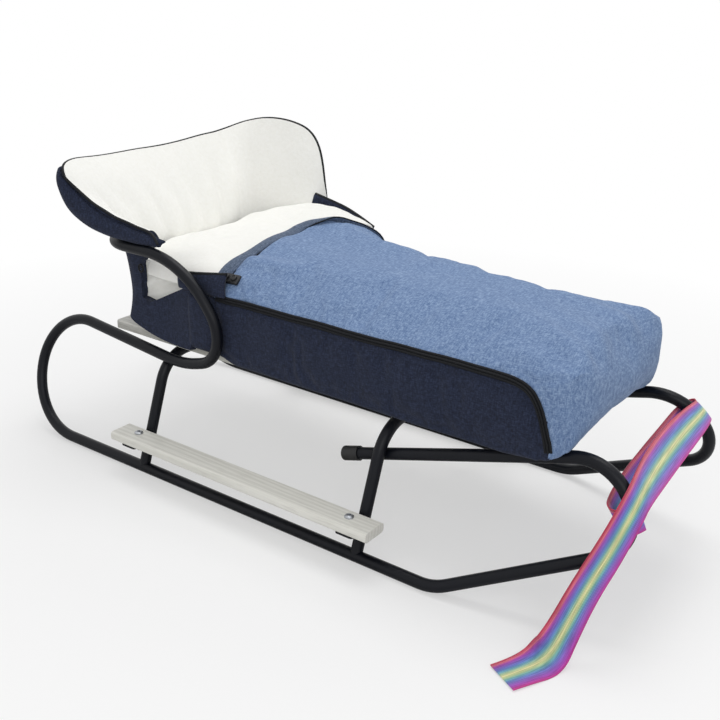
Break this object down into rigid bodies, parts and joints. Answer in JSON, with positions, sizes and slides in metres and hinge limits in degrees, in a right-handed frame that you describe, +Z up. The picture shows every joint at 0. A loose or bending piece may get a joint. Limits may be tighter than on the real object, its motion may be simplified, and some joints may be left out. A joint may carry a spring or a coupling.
{
  "type": "baby sled",
  "caption": "Baby sled: a frame of bent steel tube on runners, with wooden slats and foot boards, a padded foot muff with a hood, and a striped tow strap.",
  "frame": {"origin": "on the ground under the middle of the sled's length and width", "axes": "+X to the front, +Y to the sled's left, +Z up"},
  "size_m": [1.1241, 0.5794, 0.5165],
  "materials": {
    "frame_steel": "satin powder coat, blue-black",
    "cap_plastic": "matte black",
    "wood": "pale grey-beige, varnished",
    "navy_cloth": "woven, dark navy",
    "blue_cloth": "woven melange, denim blue",
    "fleece": "white fleece",
    "webbing": "woven, striped lengthwise"
  },
  "bodies": {
    "root": {"back_rest": "frame_steel", "bracket_front_left": "frame_steel", "bracket_front_right": "frame_steel", "bracket_rear_left": "frame_steel", "bracket_rear_right": "frame_steel", "end_cap_left": "cap_plastic", "end_cap_right": "cap_plastic", "foot_board_left": "wood", "foot_board_right": "wood", "front_bow": "frame_steel", "muff_base": "navy_cloth", "muff_cover": "blue_cloth", "muff_flap": "fleece", "muff_hood": "fleece", "rear_bow": "frame_steel", "seat_slat_1": "wood", "seat_slat_2": "wood", "seat_slat_3": "wood", "seat_slat_4": "wood", "side_tube_left": "frame_steel", "side_tube_right": "frame_steel", "strap_tail": "webbing", "strap_wound": "webbing"}
  },
  "joints": []
}
